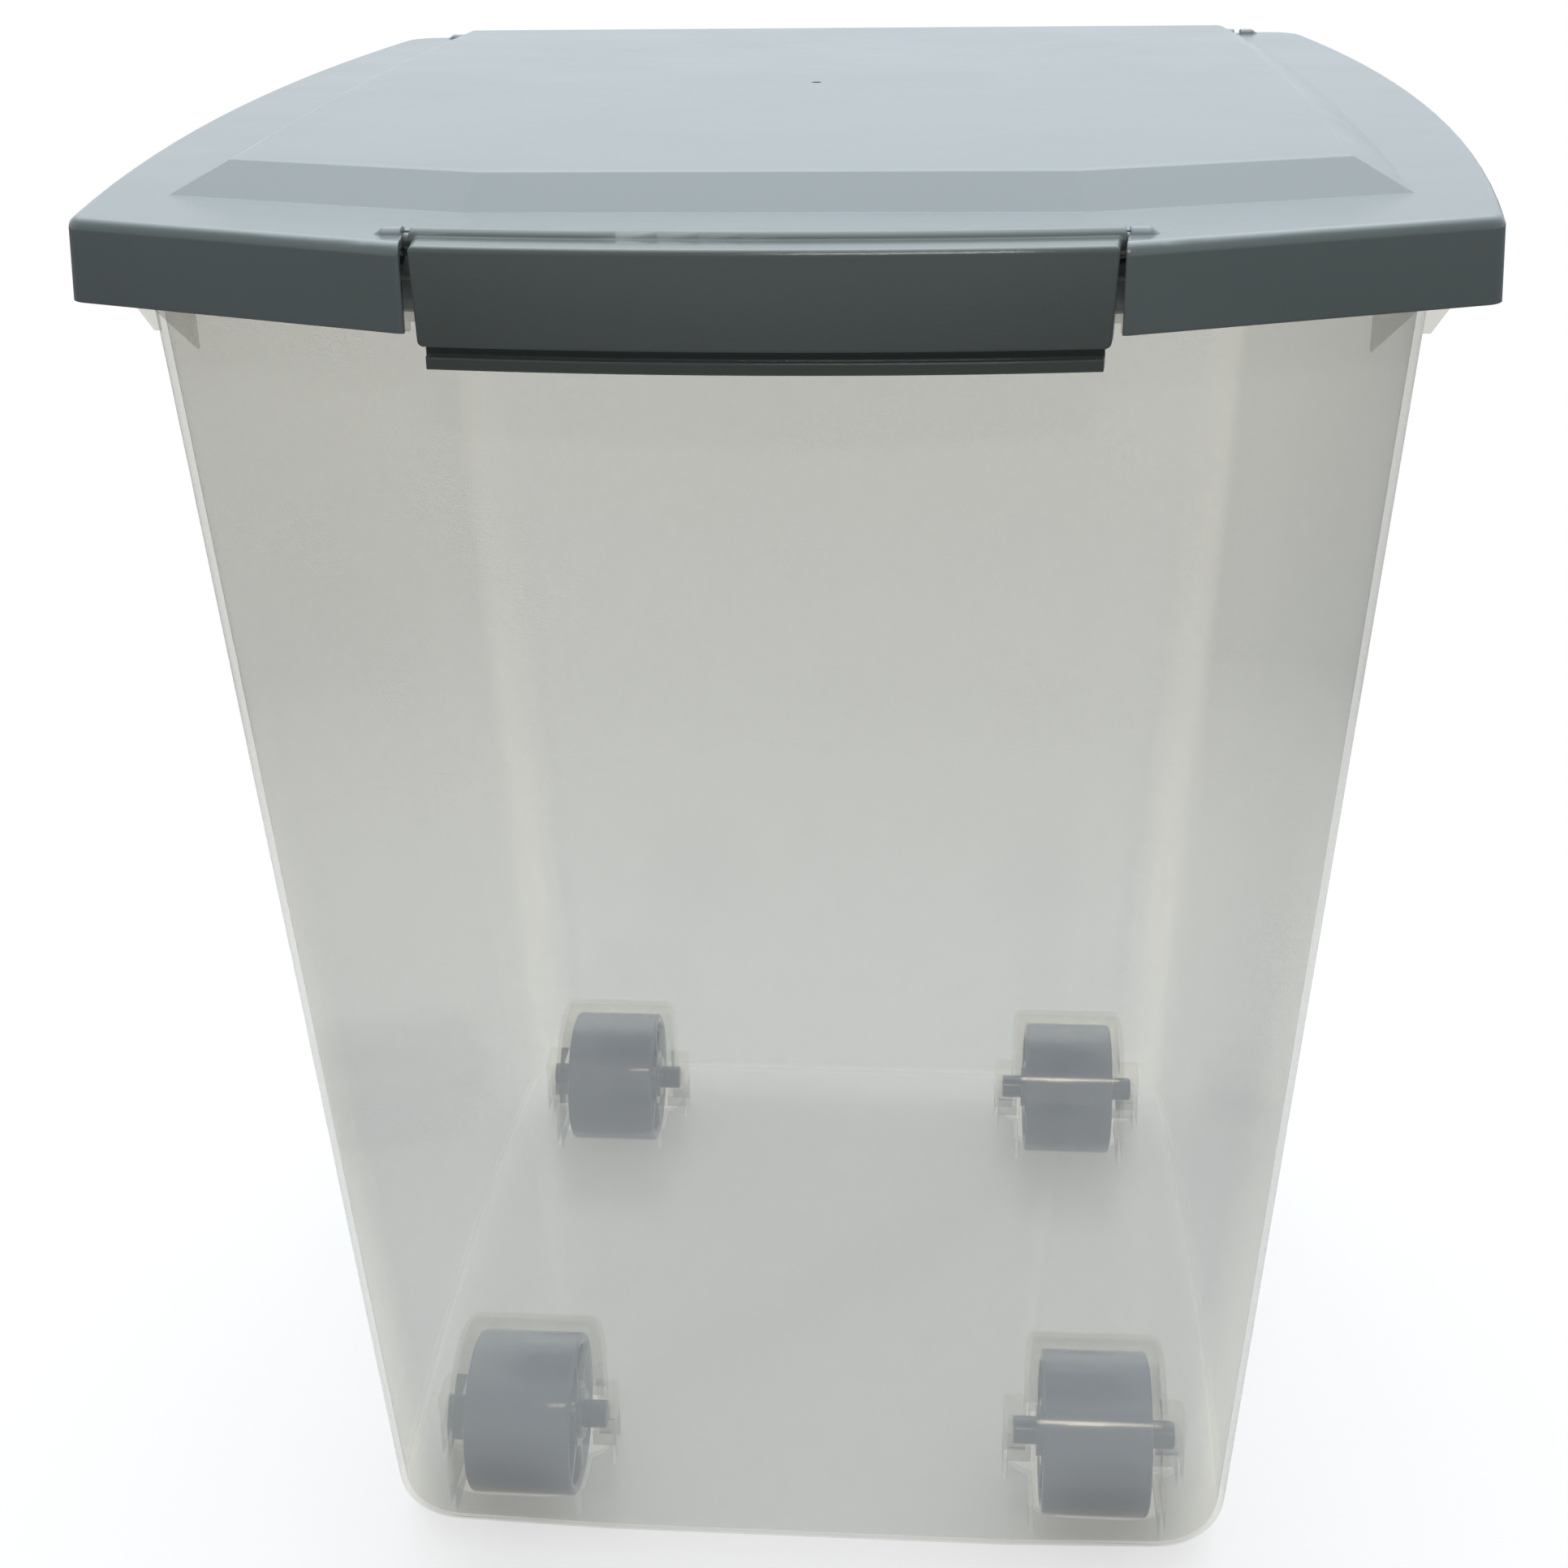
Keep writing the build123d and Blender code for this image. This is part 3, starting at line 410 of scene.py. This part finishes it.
def turned_ring():
    """A ring about the X axis whose section is a rounded rectangle."""
    tree, sizes, result = new_shape_tree("turned_ring", RING_SIZES)
    inner, outer = sizes.outputs["Inner Radius"], sizes.outputs["Outer Radius"]
    depth = maths(tree, "SUBTRACT", outer, inner)
    middle = maths(tree, "MULTIPLY", maths(tree, "ADD", outer, inner), 0.5)
    section = add_node(tree, "GeometryNodeCurvePrimitiveQuadrilateral", {
        "Width": depth, "Height": sizes.outputs["Width"]})
    rounded = add_node(tree, "GeometryNodeFilletCurve", {
        "Curve": section.outputs["Curve"], "Radius": sizes.outputs["Rounding"],
        "Count": ROUNDING_STEPS, "Limit Radius": True}, mode="POLY")
    path = add_node(tree, "GeometryNodeCurvePrimitiveCircle", {
        "Resolution": RING_STEPS, "Radius": middle})
    swept = add_node(tree, "GeometryNodeCurveToMesh", {
        "Curve": path.outputs["Curve"], "Profile Curve": rounded.outputs["Curve"]})
    upright = add_node(tree, "GeometryNodeTransform", {
        "Geometry": swept.outputs["Mesh"], "Rotation": (0, math.radians(90), 0)})
    tree.links.new(upright.outputs["Geometry"], result.inputs["Geometry"])
    return tree


ring_tree = turned_ring()
print("ring group nodes:", len(ring_tree.nodes))

# %% [markdown]
# The wheel's tree calls the ring group four times.  The spokes are one bar, copied to as
# many points as the wheel has spokes and turned by each point's number.  The bar runs from
# side to side through the web, so it makes the spokes of both sides.  Realize Instances
# makes the copies real, and Set Material gives them the wheel's plastic.

# %% The wheel's node tree
WHEEL_SIZES = {
    "Tread Radius": 29 * MM, "Tread Width": 38 * MM, "Tread Edge": 1.5 * MM,
    "Rim Wall": 4 * MM, "Web Width": 20 * MM, "Boss Radius": 12 * MM, "Hub Radius": 9 * MM,
    "Hub Width": 41.2 * MM, "Bore Radius": 5.08 * MM, "Small Edge": 0.4 * MM,
    "Spoke Width": 2.2 * MM}
SPOKES_A_SIDE = 6
JOIN_DEPTH = 0.5 * MM    # how far one form reaches into the next


def wheel_rings(tree, size, rim_inside, into_rim, into_boss):
    """The tread, the web, the boss and the hub."""
    into_hub = maths(tree, "SUBTRACT", size["Hub Radius"], JOIN_DEPTH)
    rings = [
        (size["Tread Width"], rim_inside, size["Tread Radius"], size["Tread Edge"]),
        (size["Web Width"], into_boss, into_rim, 0.0),
        (size["Tread Width"], into_hub, size["Boss Radius"], size["Small Edge"]),
        (size["Hub Width"], size["Bore Radius"], size["Hub Radius"], size["Small Edge"])]
    return [add_node(tree, "GeometryNodeGroup", dict(zip(RING_SIZES, ring)), node_tree=ring_tree)
            for ring in rings]


def wheel_spokes(tree, size, into_rim, into_boss):
    """Equal bars from the boss to the rim."""
    bar_sizes = add_node(tree, "ShaderNodeCombineXYZ", {
        "X": maths(tree, "SUBTRACT", size["Tread Width"], 2 * JOIN_DEPTH),
        "Y": size["Spoke Width"],
        "Z": maths(tree, "SUBTRACT", into_rim, into_boss)})
    bar = add_node(tree, "GeometryNodeMeshCube", {"Size": bar_sizes.outputs["Vector"]})
    reach = maths(tree, "MULTIPLY", maths(tree, "ADD", into_rim, into_boss), 0.5)
    out = add_node(tree, "ShaderNodeCombineXYZ", {"Z": reach})
    placed = add_node(tree, "GeometryNodeTransform", {
        "Geometry": bar.outputs["Mesh"], "Translation": out.outputs["Vector"]})
    points = add_node(tree, "GeometryNodePoints", {"Count": size["Spokes"]})
    number = add_node(tree, "GeometryNodeInputIndex").outputs["Index"]
    step = maths(tree, "DIVIDE", 2 * math.pi, size["Spokes"])
    turn = add_node(tree, "ShaderNodeCombineXYZ", {"X": maths(tree, "MULTIPLY", number, step)})
    return add_node(tree, "GeometryNodeInstanceOnPoints", {
        "Points": points.outputs["Points"], "Instance": placed.outputs["Geometry"],
        "Rotation": turn.outputs["Vector"]})


# %% [markdown]
# The tree joins the rings and the spokes into one mesh.

# %% Join the wheel
def moulded_wheel():
    """The wheel about its axle, with the axle along X at the origin."""
    tree, sizes, result = new_shape_tree("moulded_wheel", WHEEL_SIZES, ["Spokes"])
    size = sizes.outputs
    rim_inside = maths(tree, "SUBTRACT", size["Tread Radius"], size["Rim Wall"])
    into_rim = maths(tree, "ADD", rim_inside, JOIN_DEPTH)
    into_boss = maths(tree, "SUBTRACT", size["Boss Radius"], JOIN_DEPTH)
    join = add_node(tree, "GeometryNodeJoinGeometry")
    for ring in wheel_rings(tree, size, rim_inside, into_rim, into_boss):
        tree.links.new(ring.outputs["Geometry"], join.inputs["Geometry"])
    spokes = wheel_spokes(tree, size, into_rim, into_boss)
    tree.links.new(spokes.outputs["Instances"], join.inputs["Geometry"])
    real = add_node(tree, "GeometryNodeRealizeInstances", {"Geometry": join.outputs["Geometry"]})
    painted = add_node(tree, "GeometryNodeSetMaterial", {
        "Geometry": real.outputs["Geometry"], "Material": wheel_plastic})
    tree.links.new(painted.outputs["Geometry"], result.inputs["Geometry"])
    return tree


wheel_tree = moulded_wheel()
print("wheel group nodes:", len(wheel_tree.nodes))

# %% [markdown]
# The tree runs once, as a modifier on an empty mesh.  Each wheel is then a copy of that
# result with its place in its own vertices, and rides on its own turning body, in place of
# the plain CAD wheel.

# %% Make the wheels
SHARP_ANGLE = math.radians(35)


def run_shape_tree(tree, values):
    """The plain mesh that a tree makes from these sizes."""
    carrier = bpy.data.objects.new(tree.name, bpy.data.meshes.new(tree.name))
    bpy.context.scene.collection.objects.link(carrier)
    modifier = carrier.modifiers.new(tree.name, "NODES")
    modifier.node_group = tree
    for socket in tree.interface.items_tree:
        if socket.in_out == "INPUT":
            modifier[socket.identifier] = values[socket.name]
    seen = carrier.evaluated_get(bpy.context.evaluated_depsgraph_get())
    mesh = bpy.data.meshes.new_from_object(seen)
    bpy.data.objects.remove(carrier)
    return mesh


wheel_mesh = run_shape_tree(wheel_tree, {**WHEEL_SIZES, "Spokes": SPOKES_A_SIDE})
wheel_mesh.shade_smooth()
wheel_mesh.set_sharp_from_angle(angle=SHARP_ANGLE)
for place in WHEELS:
    low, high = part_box(f"{place}_wheel")
    mesh = wheel_mesh.copy()
    mesh.transform(Matrix.Translation((low + high) / 2))
    wheel = bpy.data.objects.new(f"{place}_moulded_wheel", mesh)
    bpy.context.scene.collection.objects.link(wheel)
    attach(wheel, f"{place}_wheel")
    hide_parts(f"{place}_wheel")
print("wheel triangles:", sum(len(face.vertices) - 2 for face in wheel_mesh.polygons))
print("wheel size in mm:", [round(1000 * v, 1) for v in high - low])

# %% [markdown]
# ## The camera
# The camera stands close, a little above the lid and to the right of its middle, and looks
# down.  Its place, its turns and its lens are those that put the lid's corners, the bin's
# edges and the wheels where the photograph shows them.

# %% The camera
CAMERA_PLACE = Vector((0.0454, -0.7455, 0.5772))
PITCH = math.radians(24.34)
YAW = math.radians(-4.52)
ROLL = math.radians(-0.88)
IMAGE_PIXELS = 1932
FOCAL_PIXELS = 2750
SENSOR_MM = 36.0

forward = Vector((math.sin(YAW) * math.cos(PITCH), math.cos(YAW) * math.cos(PITCH),
                  -math.sin(PITCH)))
level_right = Vector((math.cos(YAW), -math.sin(YAW), 0))
level_up = level_right.cross(forward)
right = level_right * math.cos(ROLL) + level_up * math.sin(ROLL)
up = level_up * math.cos(ROLL) - level_right * math.sin(ROLL)
camera_turn = Matrix((right, up, -forward)).transposed()
camera_data = bpy.data.cameras.new("camera")
camera_data.sensor_width = SENSOR_MM
camera_data.lens = SENSOR_MM * FOCAL_PIXELS / IMAGE_PIXELS
camera = bpy.data.objects.new("camera", camera_data)
camera.matrix_world = Matrix.Translation(CAMERA_PLACE) @ camera_turn.to_4x4()
bpy.context.scene.collection.objects.link(camera)
bpy.context.scene.camera = camera
print("lens in mm:", round(camera_data.lens, 1))

# %% [markdown]
# ## The studio
# The container stands on a pale floor before a white backdrop.  The light that falls on it
# is a wide soft ceiling, a little behind it, which is what leaves the lid pale on top and
# dark in front.  Light Path tells whether a ray looks at something or only gathers light,
# so the backdrop can be white to look at, also through the bin, and still light the
# container at a plain level.

# %% Which rays look at the studio
def is_ray(tree, *kinds):
    """1 for a ray of one of these kinds, else 0."""
    path = add_node(tree, "ShaderNodeLightPath").outputs
    answer = path[f"Is {kinds[0]} Ray"]
    for kind in kinds[1:]:
        answer = maths(tree, "MAXIMUM", answer, path[f"Is {kind} Ray"])
    return answer


# %% [markdown]
# The floor's paint takes the container's shadow.  Further out it fades into the white of
# the backdrop, so no horizon shows.  To the rays that only gather light it is a dark grey,
# so that it doesn't brighten the container's front from below.  Near the container, gloss
# sees it white, because the bin's walls mirror it at a low angle.

# %% The floor's paint
PAINT_FADE = (0.22, 0.6)    # from the middle, how far out the paint turns to pure white
WHITE_SHARE = 0.65          # how much of it is pure white nearer than that
GLOSS_POOL = (0.4, 0.8)     # how far out gloss stops seeing the white


def studio_floor_paint():
    """Pale paint to look at, dark to the rays that only gather light."""
    material, tree, output = new_material("studio_floor_paint")
    place = add_node(tree, "ShaderNodeTexCoord").outputs["Object"]
    distance = add_node(tree, "ShaderNodeVectorMath", {0: place},
                        operation="LENGTH").outputs["Value"]
    pool = remap(tree, distance, 1.0, 0.0, *GLOSS_POOL)
    seen = maths(tree, "MAXIMUM", is_ray(tree, "Camera", "Transmission"),
                 maths(tree, "MULTIPLY", pool, is_ray(tree, "Glossy")))
    colour = add_node(tree, "ShaderNodeMix", {
        "Factor": seen, "A": linear("#6C6C6C"), "B": linear("#E6E6E6")}, data_type="RGBA")
    paint = add_node(tree, "ShaderNodeBsdfDiffuse", {"Color": colour.outputs["Result"]})
    white = add_node(tree, "ShaderNodeEmission", {"Color": WHITE, "Strength": 1.0})
    far = remap(tree, distance, WHITE_SHARE, 1.0, *PAINT_FADE)
    surface = add_node(tree, "ShaderNodeMixShader", {
        "Fac": maths(tree, "MULTIPLY", far, seen),
        1: paint.outputs["BSDF"], 2: white.outputs["Emission"]})
    tree.links.new(surface.outputs["Shader"], output.inputs["Surface"])
    return material


# %% [markdown]
# The floor itself is one large square.

# %% The floor
FLOOR_HALF = 9.0
floor_mesh = bpy.data.meshes.new("studio_floor")
floor_mesh.from_pydata([(-FLOOR_HALF, -FLOOR_HALF, 0), (FLOOR_HALF, -FLOOR_HALF, 0),
                        (FLOOR_HALF, FLOOR_HALF, 0), (-FLOOR_HALF, FLOOR_HALF, 0)],
                       [], [(0, 1, 2, 3)])
floor = bpy.data.objects.new("studio_floor", floor_mesh)
bpy.context.scene.collection.objects.link(floor)
floor_mesh.materials.append(studio_floor_paint())
print("floor half width in m:", FLOOR_HALF)

# %% [markdown]
# The world is dim round the sides and grows to a bright ceiling, slightly cool in colour.
# Gloss sees that ceiling too, and elsewhere the white backdrop.

# %% The world
WORLD_BASE = 0.06
CEILING_LIGHT = 4.2
CEILING_DIRECTION = (0.0, 0.447, 0.894)
CEILING_EDGE = 0.5    # the cosine of 60 degrees, the ceiling's reach from its middle
GLOSS_BACKDROP = 1.08


def light_studio(world):
    """White to look at, and a soft ceiling to the rays that gather light."""
    world.use_nodes = True
    tree = world.node_tree
    tree.nodes.clear()
    output = tree.nodes.new("ShaderNodeOutputWorld")
    direction = add_node(tree, "ShaderNodeTexCoord").outputs["Generated"]
    rise = vector_maths(tree, "DOT_PRODUCT", direction, CEILING_DIRECTION, "Value")
    ceiling = remap(tree, rise, WORLD_BASE, CEILING_LIGHT, CEILING_EDGE, 1.0)
    in_gloss = maths(tree, "MULTIPLY", is_ray(tree, "Glossy"), GLOSS_BACKDROP)
    looks = is_ray(tree, "Camera", "Transmission")
    strength = add_node(tree, "ShaderNodeMix", {
        "Factor": looks, "A": maths(tree, "MAXIMUM", ceiling, in_gloss), "B": 1.0})
    tint = add_node(tree, "ShaderNodeMix", {
        "Factor": looks, "A": linear("#F2F9FF"), "B": WHITE}, data_type="RGBA")
    backdrop = add_node(tree, "ShaderNodeBackground", {
        "Color": tint.outputs["Result"], "Strength": strength.outputs["Result"]})
    tree.links.new(backdrop.outputs["Background"], output.inputs["Surface"])


studio = bpy.data.worlds.new("studio")
bpy.context.scene.world = studio
light_studio(studio)
print("world light from", WORLD_BASE, "to", CEILING_LIGHT)

# %% [markdown]
# A narrow softbox hangs above and in front, to the right.  It draws the bright line along
# the latch's fold, and the thin ones on the right wheels.

# %% The lamp
def softbox(name, place, aim, width, height, watts, colour):
    """A rectangular lamp that faces a point."""
    data = bpy.data.lights.new(name, "AREA")
    data.shape = "RECTANGLE"
    data.size = width
    data.size_y = height
    data.energy = watts
    data.color = linear(colour)[:3]
    lamp = bpy.data.objects.new(name, data)
    lamp.location = place
    lamp.rotation_euler = (Vector(aim) - Vector(place)).to_track_quat("-Z", "Y").to_euler()
    bpy.context.scene.collection.objects.link(lamp)
    print(name, watts, "W")


softbox("strip_lamp", place=(0.09, -1.0, 1.1), aim=(0.0, -0.2, 0.45), width=0.32, height=0.05,
        watts=3, colour="#FFF7EB")

# %% [markdown]
# ## Last steps
# Standard keeps the colours as written.

# %% Colour management
bpy.context.scene.view_settings.view_transform = "Standard"
